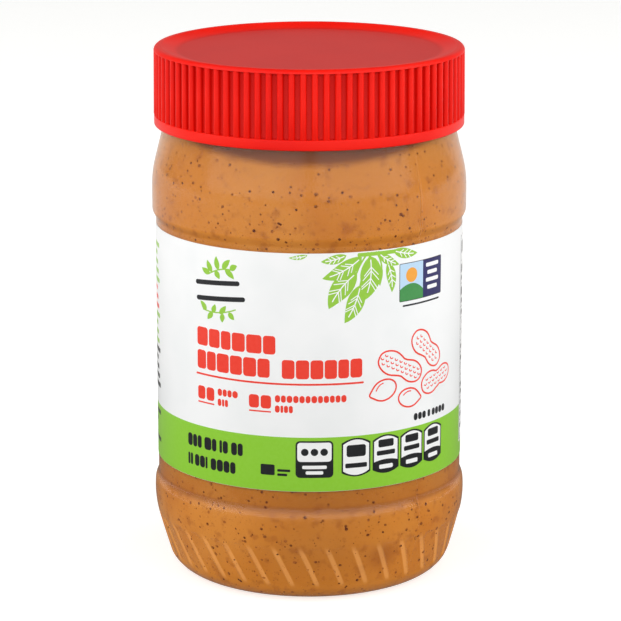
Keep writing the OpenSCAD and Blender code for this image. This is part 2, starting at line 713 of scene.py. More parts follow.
@dataclass(frozen=True)
class PeanutPaste(Finish):
    """Smooth peanut butter pressed against the wall: oily tan, mottled, finely speckled."""

    name: str = "smooth_peanut_butter"
    base: str = "#B97522"
    pale: str = "#C2843A"
    deep: str = "#AC630E"
    smudge: str = "#8A4A18"
    speck: str = "#5A2A10"
    painted_shade: str = "#7A3E06"
    land: str = "#D89C5A"
    painted_cap_shadow: str = "#6C2E00"
    roughness: float = 0.45
    specular: float = 0.15

    def layers(self, tree: NodeTree) -> list[Layer]:
        """Drifts, smudges, specks, and painted light: shade low in front, in the crease and under the
        cap, and highlights on the lands.

        Args:
            tree: The material's tree.

        Returns:
            The layers, from the lowest up.
        """
        land, crease = (
            add_node(tree, "ShaderNodeAttribute", {"attribute_name": name})
            for name in ("land", "crease")
        )
        return [
            (patches(tree, 26.0, 0.35, 0.68, 2.0, 1.0), self.pale, 0.7),
            (patches(tree, 14.0, 0.5, 0.72, 3.0, 4.0), self.deep, 0.55),
            (patches(tree, 3.0, 0.54, 0.7, 3.0, 9.0), self.smudge, 0.45),
            (patches(tree, 1.2, 0.6, 0.72, 2.0, 14.0), self.smudge, 0.3),
            (patches(tree, 0.55, 0.68, 0.76, 1.5, 2.0), self.speck, 0.5),
            # Painted shade: darker low on the front of the heel.
            (near(tree, (2.0, -36.6, 19.0), 22.0, 4.0), self.painted_shade, 0.22),
            (near(tree, (17.5, -31.0, 10.5), 6.0, 0.5), self.smudge, 0.6),
            # Painted shade: a dark line in the concave crease above the heel's step.
            (crease.outputs["Fac"], self.painted_shade, 0.55),
            # Painted shadow of the cap: a crescent under its front edge, thinning to the sides, none at
            # the back.
            (near(tree, (0.0, -34.3, 261.8), 160.2, 157.8), self.painted_cap_shadow, 0.92),
            # Painted highlight: the filling is paler along the wall's lands.
            (land.outputs["Fac"], self.land, 0.5),
        ]


@dataclass(frozen=True)
class RoastedSkin(Finish):
    """Bits of ground peanut skin: dull and dark red-brown, some of them paler."""

    name: str = "roasted_peanut_skin"
    base: str = "#54240A"
    light: str = "#9A5C26"
    roughness: float = 0.6
    specular: float = 0.1

    def layers(self, tree: NodeTree) -> list[Layer]:
        """Paler patches, which cover some chips."""
        return [(patches(tree, 1.4, 0.35, 0.65, 1.0), self.light, 1.0)]


@dataclass(frozen=True)
class MouldedCap(Finish):
    """Injection-moulded polypropylene, red through and through, with a satin mould grain."""

    name: str = "moulded_red_polypropylene"
    base: str = "#F01807"
    shade: str = "#E81003"
    groove: str = "#C40A02"
    roughness: float = 0.4
    ior: float = 1.49
    specular: float = 0.2
    waves: tuple[float, ...] = (0.22, 0.006, 0.5)

    def layers(self, tree: NodeTree) -> list[Layer]:
        """Flow streaks, and painted shade: a deeper red down between the ribs."""
        # Painted shade: the floors between the ribs, below the top, are a deeper red.
        groove_shade = reach(tree, (35.75, 35.1), (123.9, 123.4))
        return [(patches(tree, 18.0, 0.35, 0.65), self.shade, 1.0), (groove_shade, self.groove, 0.7)]


@dataclass(frozen=True)
class LabelFilm(Finish):
    """White polypropylene label film with a thin gloss varnish, uneven on the blown wall."""

    name: str = "white_label_film"
    base: str = "#F6F7F8"
    shade: str = "#F1F3F4"
    ior: float = 1.46
    waves: tuple[float, ...] = (7.0, 0.012)

    def layers(self, tree: NodeTree) -> list[Layer]:
        """Faintly greyer patches."""
        return [(patches(tree, 12.0, 0.3, 0.7), self.shade, 1.0)]


class Ink(Enum):
    """The label's printing inks, each with its colour."""

    BAND_GREEN = "#8CCB33"
    LEAF_GREEN = "#93C83D"
    RED = "#EE3A28"
    BLACK = "#16181C"
    NAVY = "#23215C"
    SKY = "#BBD9F3"
    FOREST = "#3F8F4A"
    ORANGE = "#F2A33A"
    WHITE = "#F6F7F8"


@dataclass(frozen=True)
class PrintedInk(Finish):
    """A solid field of printing ink under varnish, with the slight mottle of a press."""

    ior: float = 1.46
    waves: tuple[float, ...] = (7.0, 0.012)
    weakness: float = 0.03

    def layers(self, tree: NodeTree) -> list[Layer]:
        """Patches where the ink is a little thinner."""
        channels = (int(self.base[i:i + 2], 16) for i in (1, 3, 5))
        weak = "#" + "".join(f"{round(c + (255 - c) * self.weakness):02X}" for c in channels)
        return [(patches(tree, 0.8, 0.3, 0.7), weak, 1.0)]


@dataclass(frozen=True)
class PaperFloor(Finish):
    """Pale matt paper under the jar, lit a little from within."""

    name: str = "pale_paper"
    base: str = "#CFCFCE"
    fibre: str = "#CCCCCB"
    roughness: float = 0.8
    glow: float = 0.62

    def layers(self, tree: NodeTree) -> list[Layer]:
        """Faint fibres."""
        return [(patches(tree, 1.5, 0.3, 0.7, 3.0), self.fibre, 1.0)]


@dataclass(frozen=True)
class GreyTable(Finish):
    """Grey table top that only the jar sees: a glowing card, bright further off, with a painted shadow
    dim at the jar's foot.
    """

    name: str = "grey_table_foot_shadow"
    base: str = "#F0EEEC"
    close: str = "#7C7A78"

    def shader(self, tree: NodeTree) -> Node:
        """Lay out the glow, with its painted shadow dim near the axis.

        Args:
            tree: The material's empty tree.

        Returns:
            The shader.
        """
        # Painted shadow: the glow dims towards the jar's foot.
        foot = near(tree, (0.0, 0.0, 0.0), 420.0, 90.0)
        colour = painted(tree, self.base, (foot, self.close, 1.0))
        return add_node(tree, "ShaderNodeEmission", links={"Color": colour})


# ---------------------------------------------------------------- jar


@dataclass
class ClearJar:
    """Blown jar: domed foot, slanted heel flutes, recessed label wall, shoulder and neck."""

    bulge_r: float
    mouth_z: float
    panel_r: float = 35.78
    wall: float = 0.7
    foot_r: float = 27.0
    foot_ring: float = 2.4
    foot_wall: float = 1.1
    push_up: float = 3.4
    corner_r: float = 6.75
    heel_taper: float = 16.0
    heel_arc_r: float = 23.2
    flutes: int = 36
    flute_depth: float = 0.34
    land: float = 1.05
    panel_corner: float = 1.9
    panel_edge: Point = (0.42, 0.3)
    flute_low: float = 3.9
    flute_high: float = 14.2
    drift: float = 7.1
    heel_step: Point = (20.9, 24.0)
    shoulder_step: Point = (84.4, 86.8)
    shoulder_z: float = 91.95
    shoulder_arc_r: float = 25.0
    shoulder_taper: float = 14.0
    neck_r: float = 32.9
    neck_wall: float = 1.5
    head_space: float = 3.0
    lip_out: float = 0.4
    lip_in: float = 0.3
    seam_angle: float = 43.8
    seam_height: float = 0.1
    seam_half: float = 0.28

    @property
    def bulge_z(self) -> float:
        """Height of the heel's widest point.

        Returns:
            The height.
        """
        a = math.radians(self.heel_taper)
        reach = self.bulge_r - self.heel_arc_r * (1 - math.cos(a)) - self.foot_r
        rise = (reach - self.corner_r * math.cos(a)) / math.tan(a)
        return self.corner_r * (1 - math.sin(a)) + self.heel_arc_r * math.sin(a) + rise

    @property
    def neck_z(self) -> float:
        """Height at which the shoulder meets the neck."""
        a = math.radians(self.shoulder_taper)
        r = self.bulge_r - self.shoulder_arc_r * (1 - math.cos(a))
        return self.shoulder_z + self.shoulder_arc_r * math.sin(a) + (r - self.neck_r) / math.tan(a)

    @property
    def dome(self) -> Point:
        """Radius of the ball whose cap is the foot's dome, and the dome's edge in degrees."""
        ring = self.foot_r - self.foot_ring
        ball = (ring ** 2 + self.push_up ** 2) / (2 * self.push_up)
        return ball, math.degrees(math.acos(ring / ball))

    @property
    def flute_middle(self) -> float:
        """Height of the middle of the flutes."""
        return (self.flute_low + self.flute_high) / 2

    def heel_r(self, z: float, inside: float) -> float:
        """Radius of the heel wall at a height.

        Args:
            z: The height.
            inside: How far inside the outer face.

        Returns:
            The radius there.
        """
        a = math.radians(self.heel_taper)
        small = self.corner_r - inside
        big = self.heel_arc_r - inside
        low = self.corner_r - small * math.sin(a)
        high = self.bulge_z - big * math.sin(a)
        if z <= low:
            return self.foot_r + math.sqrt(small ** 2 - (z - self.corner_r) ** 2)
        if z < high:
            return self.foot_r + small * math.cos(a) + (z - low) * math.tan(a)
        return self.bulge_r - self.heel_arc_r + math.sqrt(big ** 2 - (z - self.bulge_z) ** 2)

    def heel(self, inside: float, heights: np.ndarray) -> list[Row]:
        """Rows of the heel wall, with the flutes' depth where it may be cut.

        Args:
            inside: How far inside the outer face.
            heights: Their heights.

        Returns:
            One row for each height.
        """
        depth = 0.0 if inside else self.flute_depth
        return [Row(self.heel_r(z, inside), z, depth) for z in heights]

    def upper(self, inside: float) -> list[Row]:
        """Rows from the heel's step to the start of the neck.

        Args:
            inside: How far inside the outer face.

        Returns:
            The rows, from the step up.
        """
        start = Row(self.heel_r(self.heel_step[0], inside), self.heel_step[0])
        shape = Outline(start.r, start.z)
        shape.ease(self.panel_r - inside, self.heel_step[1], 9)
        shape.line(self.panel_r - inside, self.shoulder_step[0], 4)
        shape.ease(self.bulge_r - inside, self.shoulder_step[1], 9)
        arc_r = self.bulge_r - self.shoulder_arc_r
        shape.arc(arc_r, self.shoulder_z, self.shoulder_arc_r - inside, 0, self.shoulder_taper, 8)
        return shape.rows

    def inner(self, outward: float, top: float, fine: int = 12) -> list[Row]:
        """Rows of the space inside, from the floor's middle up to a height.

        Args:
            outward: How far into the wall the rows are pushed.
            top: The height to stop at.
            fine: How many rows the heel gets.

        Returns:
            The rows, from the axis up.
        """
        dome, edge = self.dome
        skin = self.wall - outward
        floor = Outline(0.0, self.push_up + self.foot_wall - outward)
        middle = self.push_up - dome
        floor.arc(0.0, middle, dome + self.foot_wall - outward, 90, edge, 8)
        floor.line(self.foot_r - self.foot_ring / 4, self.foot_wall - outward)
        low = self.foot_wall + 0.3
        floor.add(self.heel(skin, np.linspace(low, self.heel_step[0] - 0.5, fine)))
        floor.add(self.upper(skin))
        bore = self.neck_r - self.neck_wall + outward
        floor.line(bore, self.neck_z - self.wall)
        floor.line(bore, top, 2)
        return floor.rows

    def outer(self) -> list[Row]:
        """Rows of the outside, from the dome's middle up to the mouth.

        Returns:
            The rows, from the axis out and up.
        """
        dome, edge = self.dome
        foot = Outline(0.0, self.push_up)
        foot.arc(0.0, self.push_up - dome, dome, 90, edge, 8)
        foot.line(self.foot_r, 0.0)
        foot.arc(self.foot_r, self.corner_r, self.corner_r, -90, -50, 6)
        low, high = self.flute_low, self.flute_high
        stops = (low - 1.4, low + 2.4, high - 2.4, high + 0.8, self.heel_step[0] - 0.4)
        spans = zip(stops, stops[1:], (13, 7, 12, 7))
        steps = [np.linspace(start, end, count)[1:] for start, end, count in spans]
        foot.add(self.heel(0.0, np.concatenate([stops[:1], *steps])))
        foot.add(self.upper(0.0))
        foot.line(self.neck_r, self.neck_z)
        foot.line(self.neck_r, self.mouth_z - self.lip_out, 2)
        foot.line(self.neck_r - self.lip_out, self.mouth_z)
        return foot.rows

    def flute_cut(self, theta: np.ndarray, z: np.ndarray) -> np.ndarray:
        """Share of the flute's depth: 0 on a land, 1 on a panel with rounded corners.

        Args:
            theta: Angles from the slice's middle, in degrees.
            z: Heights.

        Returns:
            The share at each of them.
        """
        corner, (inward, outward) = self.panel_corner, self.panel_edge
        half_pitch, per_degree = 180 / self.flutes, math.radians(self.bulge_r - 2)
        across = (half_pitch - np.abs(theta)) * per_degree
        x = across - (half_pitch * per_degree - self.land / 2 - corner)
        y = np.abs(z - self.flute_middle) - ((self.flute_high - self.flute_low) / 2 - corner)
        gap = np.hypot(np.maximum(x, 0), np.maximum(y, 0)) + np.minimum(np.maximum(x, y), 0)
        return 1 - smooth(corner - inward, corner + outward, gap)

    def slice_angles(self) -> np.ndarray:
        """Angles of the columns of one fluted slice, close together at the land's edges."""
        side = np.array([0, 0.4, 0.72, 1.0, 1.35, 2.0, 3.4, 5.0]) * 36 / self.flutes
        return np.concatenate([-side[:0:-1], side])

    def all_angles(self) -> np.ndarray:
        """Angles of the columns of all slices."""
        slices = [self.slice_angles()[:-1] + 360 * k / self.flutes for k in range(self.flutes)]
        return np.append(np.concatenate(slices), slices[0][0] + 360)

    def lean(self, z: np.ndarray) -> np.ndarray:
        """Turn of a row in degrees, which slants the lands."""
        length = self.flute_high - self.flute_low
        held = np.clip(z, self.flute_low - 1, self.flute_high + 1)
        return -self.drift * (held - self.flute_middle) / length

    def add_seam(self, piece: Object) -> None:
        """Raise the mould's fine parting line on both sides of the outside.

        Args:
            piece: The jar's body.
        """
        a = math.radians(self.seam_angle)
        away = np.array([math.cos(a), math.sin(a), 0.0])
        shell = bmesh.new()
        shell.from_mesh(piece.data)
        for offset in (-self.seam_half, 0.0, self.seam_half):
            everything = shell.verts[:] + shell.edges[:] + shell.faces[:]
            bmesh.ops.bisect_plane(
                shell, geom=everything, dist=1e-6, plane_co=away * offset * MM, plane_no=away
            )
        for corner in shell.verts:
            r = math.hypot(corner.co.x, corner.co.y)
            outside = r > (self.least_outside(corner.co.z / MM) - 0.3) * MM
            if outside and abs(corner.co.x * away[0] + corner.co.y * away[1]) < 1e-6:
                grown = 1 + self.seam_height * MM / r
                corner.co.x *= grown
                corner.co.y *= grown
        shell.to_mesh(piece.data)
        shell.free()

    def least_outside(self, z: float) -> float:
        """Least radius at a height that counts as the outside, so that the inside is left alone.

        Args:
            z: The height.

        Returns:
            The radius, or infinity where nothing is to be raised.
        """
        if 5.0 < z < self.heel_step[0]:
            return self.heel_r(z, 0.0) - self.flute_depth / 2
        if self.heel_step[0] <= z < self.shoulder_z:
            return self.panel_r
        if z < self.neck_z:
            return self.neck_r + 0.25
        return math.inf

    def build(self, polyester: Material) -> Object:
        """Build one fluted slice and repeat it round the axis.

        Args:
            polyester: The wall's finish.

        Returns:
            The jar's body.
        """
        inside = self.inner(0.0, self.mouth_z - self.lip_in)
        bore = self.neck_r - self.neck_wall
        rim = [Row(bore + self.lip_in, self.mouth_z)]
        rows = self.outer() + rim + inside[::-1]
        piece = turned("jar_body", rows, self.slice_angles(), self.flute_cut, self.lean)
        count = {"Count": self.flutes, "Weld": SLICE_WELD, "Material": polyester}
        grow(piece, ring_tree(), count)
        self.add_seam(piece)
        soften(piece, 35)
        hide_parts("jar")
        return give(piece, polyester)


@dataclass
class PeanutButter:
    """The filling, which reaches just into the wall, and the skin flecks pressed to the wall."""

    jar: ClearJar
    label_z: Point
    into_wall: float = 0.05
    land_edge: Point = (0.75, 0.3)
    land_foot: Point = (-0.2, 1.0)
    land_head: Point = (0.6, -1.4)
    crease_foot: Point = (-2.2, -1.1)
    crease_head: Point = (0.5, -0.4)
    heel_rows: int = 44
    columns: int = 144
    flecks: float = 680000.0
    drift: float = 16.0
    bareness: float = 0.2
    fullness: float = 0.72
    flatness: float = 0.2
    smallest: float = 0.08
    largest: float = 0.5
    rarity: float = 4.5
    seed: int = 5

    def build(self, paste: Material, skin: Material) -> list[Object]:
        """Build the filling and strew the flecks.

        Args:
            paste: The filling's finish.
            skin: The flecks' finish.

        Returns:
            Both pieces.
        """
        top = self.jar.mouth_z - self.jar.head_space
        rows = self.jar.inner(self.into_wall, top, self.heel_rows)
        rows += [Row(rows[-1].r * share, top + rise) for share, rise in self.surface()]
        fill = turned("peanut_butter_fill", rows, self.jar.all_angles(), lean=self.jar.lean)
        self.mark_wall(fill)
        soften(fill, 50)
        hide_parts("peanut_butter")
        flecks = mesh_object("skin_flecks", *self.side(rows))
        values = {
            "Density": self.flecks,
            "Drift Size": self.drift * MM,
            "Bareness": self.bareness,
            "Fullness": self.fullness,
            "Smallest": self.smallest * MM,
            "Largest": self.largest * MM,
            "Rarity": self.rarity,
            "Flatness": self.flatness,
            "Roundness": 1,
            "Seed": self.seed,
            "Weld": 0.0,
            "Material": skin,
        }
        grow(flecks, scatter_tree(), values)
        soften(flecks, 60)
        return [give(fill, paste), give(flecks, skin)]

    def mark_wall(self, fill: Object) -> None:
        """Store on the filling where the wall's lands and its lower step press it, 0 to 1.

        Args:
            fill: The filling.
        """
        mesh = fill.data
        points = np.empty(len(mesh.vertices) * 3)
        mesh.vertices.foreach_get("co", points)
        x, y, z = points.reshape(-1, 3).T / MM
        theta = np.degrees(np.arctan2(x, -y)) - self.jar.lean(z)
        pitch = 360 / self.jar.flutes
        across = np.abs((theta + pitch / 2) % pitch - pitch / 2) * math.radians(self.jar.bulge_r)
        foot, head = z - self.jar.flute_low, z - self.jar.flute_high
        inside = smooth(*self.land_foot, foot) * smooth(*self.land_head, head)
        side = np.hypot(x, y) > self.jar.foot_r
        # The lands, along which the filling's finish paints a highlight.
        land = smooth(*self.land_edge, across) * inside * side
        # The crease above the heel's step, which the filling's finish darkens as painted shade.
        step = z - self.jar.heel_step[1]
        crease = smooth(*self.crease_foot, step) * smooth(*self.crease_head, step) * side
        for name, values in (("land", land), ("crease", crease)):
            mesh.attributes.new(name, "FLOAT", "POINT").data.foreach_set("value", values)

    def surface(self) -> list[Point]:
        """Share of the radius and rise of the rows of the scooped-level top."""
        return [(0.97, 0.25), (0.8, 0.1), (0.5, -0.35), (0.2, -0.15), (0.0, 0.2)]

    def side(self, rows: list[Row]) -> tuple[np.ndarray, list]:
        """Corners and faces of the filling's side alone, for the flecks to lie on.

        Args:
            rows: The filling's rows.

        Returns:
            Corner positions and faces, without the stretch behind the label.
        """
        wall = [row for row in rows if row.z > 0.9 and row.r > self.jar.neck_r * 0.85]
        z_gap = (self.label_z[0] + 1, self.label_z[1] - 1)
        theta = np.radians(np.linspace(-180, 180, self.columns + 1))[None, :]
        r = np.array([[row.r] for row in wall])
        z = np.array([[row.z] for row in wall])
        bare = [
            i for i in range(len(wall) - 1) if not (z_gap[0] < wall[i].z and wall[i + 1].z < z_gap[1])
        ]
        return on_wall(theta, r, z), strips(bare, self.columns + 1, len(wall))


# ---------------------------------------------------------------- cap


@dataclass
class ScrewCap:
    """Red screw cap with rounded ribs, a smooth band under them and a recessed top."""

    low_z: float
    top_z: float
    seat_z: float
    band_r: float = 35.98
    tip_r: float = 36.05
    band_h: float = 2.4
    edge_r: float = 1.0
    skirt_r: float = 34.4
    ribs: int = 86
    rib_depth: float = 1.0
    floor_share: float = 0.42
    draft: float = 0.12
    rim_in_r: float = 34.0
    panel_r: float = 30.1
    recess: float = 1.15
    rim_round: float = 0.3
    ledge_round: float = 0.12
    rib_chamfer: Point = (0.06, 0.08)
    rim_in_round: float = 0.25
    roundness: float = 2.3

    def rib_cut(self, theta: np.ndarray, z: np.ndarray) -> np.ndarray:
        """Share of a groove's depth: 1 on its flat floor, 0 on the crest of a rounded rib.

        Args:
            theta: Angles from the slice's middle, in degrees.
            z: Heights.

        Returns:
            The share at each of them.
        """
        half = 180 / self.ribs
        floor = self.floor_share * half
        across = np.clip((half - np.abs(theta)) / (half - floor), 0, 1)
        crest = (1 - across ** self.roundness) ** (1 / self.roundness)
        return 1 - crest + 0 * z

    def rows(self) -> list[Row]:
        """Rows from the middle of the underside, round the skirt, to the middle of the top.

        Returns:
            The rows, in that order.
        """
        ledge = self.low_z + self.band_h
        low = self.rim_round
        shape = Outline(0.0, self.seat_z)
        for r, z in ((0.0, self.seat_z), (0.0, self.low_z + low), (low, self.low_z)):
            shape.line(self.skirt_r + r, z)
        shape.arc(self.band_r - low, self.low_z + low, low, -90, 0, 4)
        small = self.ledge_round
        shape.arc(self.band_r - small, ledge - small, small, 0, 90, 3)
        corner = self.tip_r - self.draft - self.edge_r
        across, up = self.rib_chamfer
        ribbed = [Row(self.tip_r - across, ledge, self.rib_depth - across)]
        ribbed.append(Row(self.tip_r, ledge + up, self.rib_depth))
        ribbed.append(Row(self.tip_r - self.draft * 0.5, (ledge + self.top_z) / 2, self.rib_depth))
        top = self.top_z - self.edge_r
        for below, share in ((0.4, 1.0), (0.15, 0.9), (0.0, 0.5), (-0.1, 0.0)):
            ribbed.append(Row(self.tip_r - self.draft, top - below, self.rib_depth * share))
        shape.add(ribbed)
        shape.arc(corner, top, self.edge_r, 12, 90, 7)
        small = self.rim_in_round
        shape.arc(self.rim_in_r + small, self.top_z - small, small, 90, 150, 3)
        foot = self.top_z - self.recess
        for out, rise in ((0.45, 0.1), (0.1, 0.01), (-0.4, 0.0), (-self.panel_r * 0.5, 0.0)):
            shape.line(self.panel_r + out, foot + rise)
        shape.line(0.0, foot)
        return shape.rows

    def build(self, plastic: Material) -> Object:
        """Build one rib's slice and repeat it round the axis.

        Args:
            plastic: The cap's finish.

        Returns:
            The cap.
        """
        half = 180 / self.ribs
        floor = self.floor_share * half
        rise = half - floor
        steps = [0, floor * 0.7, floor, floor + rise * 0.04, floor + rise * 0.13]
        steps += [floor + rise * 0.3, floor + rise * 0.6, half]
        side = np.array(steps)
        angles = np.concatenate([-side[:0:-1], side])
        piece = turned("cap", self.rows(), angles, self.rib_cut)
        count = {"Count": self.ribs, "Weld": SLICE_WELD, "Material": plastic}
        grow(piece, ring_tree(), count)
        soften(piece, 42)
        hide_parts("lid")
        return give(piece, plastic)


# ---------------------------------------------------------------- printed shapes


def bar(left: float, right: float, low: float, high: float, corner: float = 0.4) -> Loop:
    """Rounded rectangle.

    Args:
        left: Its left edge.
        right: Its right edge.
        low: Its lower edge.
        high: Its upper edge.
        corner: The radius of its corners.

    Returns:
        The outline.
    """
    corner = min(corner, (right - left) / 2.01, (high - low) / 2.01)
    centres = [
        (right - corner, low + corner, -90),
        (right - corner, high - corner, 0),
        (left + corner, high - corner, 90),
        (left + corner, low + corner, 180),
    ]
    loop = []
    for u, v, start in centres:
        for i in range(5):
            a = math.radians(start + i * 22.5)
            loop.append((u + corner * math.cos(a), v + corner * math.sin(a)))
    return loop


def oval(u: float, v: float, half_u: float, half_v: float, sides: int = 28) -> Loop:
    """Ellipse about u, v."""
    turns = [math.tau * i / sides for i in range(sides)]
    return [(u + half_u * math.cos(a), v + half_v * math.sin(a)) for a in turns]


def placed(loop: Loop, u: float, v: float, turn: float) -> Loop:
    """Turn a loop by that many degrees about its origin and move it to u, v."""
    a = math.radians(turn)
    c, s = math.cos(a), math.sin(a)
    return [(u + x * c - y * s, v + x * s + y * c) for x, y in loop]


def stroke(path: Loop, width: float, closed: bool = False) -> list[Loop]:
    """Draw a line of even width along a path.

    Args:
        path: The points that the line follows.
        width: The line's width.
        closed: Whether the path comes back to its start.

    Returns:
        One four-sided loop for each stretch.
    """
    line = np.array(path)
    before = np.roll(line, 1, axis=0)
    after = np.roll(line, -1, axis=0)
    if not closed:
        before[0] = line[0]
        after[-1] = line[-1]
    along = after - before
    along /= np.hypot(along[:, 0], along[:, 1])[:, None]
    across = np.stack([-along[:, 1], along[:, 0]], axis=1) * width / 2
    left = line + across
    right = line - across
    count = len(line)
    pairs = [(i, (i + 1) % count) for i in range(count if closed else count - 1)]
    return [[tuple(right[i]), tuple(right[j]), tuple(left[j]), tuple(left[i])] for i, j in pairs]


def curve(start: Point, bend: Point, end: Point, steps: int = 10) -> Loop:
    """Points on a quadratic curve from start to end, pulled towards bend.

    Args:
        start: The first point.
        bend: The point that pulls it.
        end: The last point.
        steps: How many stretches it has.

    Returns:
        The points.
    """
    loop = []
    for i in range(steps + 1):
        t = i / steps
        share = ((1 - t) ** 2, 2 * t * (1 - t), t * t)
        loop.append(tuple(share[0] * start[k] + share[1] * bend[k] + share[2] * end[k] for k in (0, 1)))
    return loop


@dataclass
class Leaf:
    """A pointed leaf with a bent midrib and side veins."""

    base: Point
    tip: Point
    width: float
    bend: float = 0.0
    veins: int = 4
    vein_angle: float = 42.0
    vein_start: float = 0.12
    vein_span: float = 0.62

    def spine(self, steps: int = 12) -> Loop:
        """Points from the base to the tip along the midrib.

        Args:
            steps: How many stretches it has.

        Returns:
            The points.
        """
        du, dv = self.tip[0] - self.base[0], self.tip[1] - self.base[1]
        middle = ((self.base[0] + self.tip[0]) / 2, (self.base[1] + self.tip[1]) / 2)
        pull = (middle[0] - dv * self.bend, middle[1] + du * self.bend)
        return curve(self.base, pull, self.tip, steps)

    def half_width(self, t: float) -> float:
        """Half the leaf's width at a share t of its length."""
        return self.width / 2 * (math.sin(math.pi * t ** 0.8) ** 0.85 if 0 < t < 1 else 0.0)

    def blade(self) -> Loop:
        """Outline of the leaf.

        Returns:
            The outline.
        """
        line = np.array(self.spine())
        along = np.gradient(line, axis=0)
        along /= np.hypot(along[:, 0], along[:, 1])[:, None]
        across = np.stack([-along[:, 1], along[:, 0]], axis=1)
        last = len(line) - 1
        wide = np.array([self.half_width(i / last) for i in range(last + 1)])[:, None]
        left = line + across * wide
        right = line - across * wide
        return [tuple(p) for p in right] + [tuple(p) for p in left[-2:0:-1]]

    def ribs(self, width: float) -> list[Loop]:
        """The midrib and the side veins, as lines that leave the paper bare.

        Args:
            width: The midrib's width.

        Returns:
            Their outlines.
        """
        line = self.spine()
        lines = stroke(line[1:-2], width)
        length = math.dist(self.base, self.tip)
        for k in range(1, self.veins + 1):
            t = self.vein_start + self.vein_span * k / (self.veins + 1)
            i = round(t * (len(line) - 1))
            u, v = line[i]
            du, dv = line[i + 1][0] - line[i - 1][0], line[i + 1][1] - line[i - 1][1]
            heading = math.degrees(math.atan2(dv, du))
            for side in (-1, 1):
                reach = min(self.half_width(t) * 1.15, length * 0.3)
                start = placed([(0, 0), (reach, 0)], u, v, heading + side * self.vein_angle)
                lines += stroke(start, width * 0.8)
        return lines


@dataclass
class PeanutShell:
    """A peanut in its shell, drawn lying along u: two lobes, a waist and rows of ticks."""

    length: float
    wide: float
    narrow: float
    waist: float = 0.66
    waist_at: float = 0.05
    waist_span: float = 0.36
    bluntness: float = 0.4
    tick_gap: Point = (1.45, 1.02)
    tick_half: float = 0.42

    def half_width(self, x: float) -> float:
        """Half the shell's width at x, which runs from -1 to 1 along its length."""
        lobe = self.wide if x < 0 else self.narrow
        body = lobe * (1 - (1 - self.waist) * math.exp(-((x - self.waist_at) / self.waist_span) ** 2))
        return body / 2 * max(0.0, 1 - x * x) ** self.bluntness

    def outline(self) -> Loop:
        """The shell's closed outline.

        Returns:
            The outline.
        """
        turn = [math.tau * i / 44 for i in range(44)]
        return [
            (math.cos(a) * self.length / 2, math.copysign(self.half_width(math.cos(a)), math.sin(a)))
            for a in turn
        ]

    def ticks(self) -> list[Loop]:
        """Small curved ticks in staggered rows, clear of the outline.

        Returns:
            One path for each tick.
        """
        marks = []
        for row in range(-2, 3):
            y = row * self.tick_gap[1]
            for i in range(-4, 5):
                x = (i + row % 2 / 2) * self.tick_gap[0]
                outer = math.copysign(abs(x) + 0.5, x) / (self.length / 2)
                if abs(y) + 0.75 < self.half_width(outer):
                    ends = [(x + side * self.tick_half, y + 0.2) for side in (-1, 1)]
                    marks.append(curve(ends[0], (x, y - 0.5), ends[1], 6))
        return marks


def kernel(half_u: float, half_v: float, point: int) -> Loop:
    """Draw a shelled nut as an oval with one end drawn out to a point.

    Args:
        half_u: Half its length.
        half_v: Half its width.
        point: 1 for the point at the right, -1 for the left.

    Returns:
        The outline.
    """
    loop = []
    for i in range(36):
        a = math.tau * i / 36
        end = max(0.0, point * math.cos(a))
        u = half_u * math.cos(a) * (1 + 0.16 * end ** 14)
        loop.append((u, half_v * math.sin(a) * (1 - 0.2 * end ** 3)))
    return loop


# ---------------------------------------------------------------- label


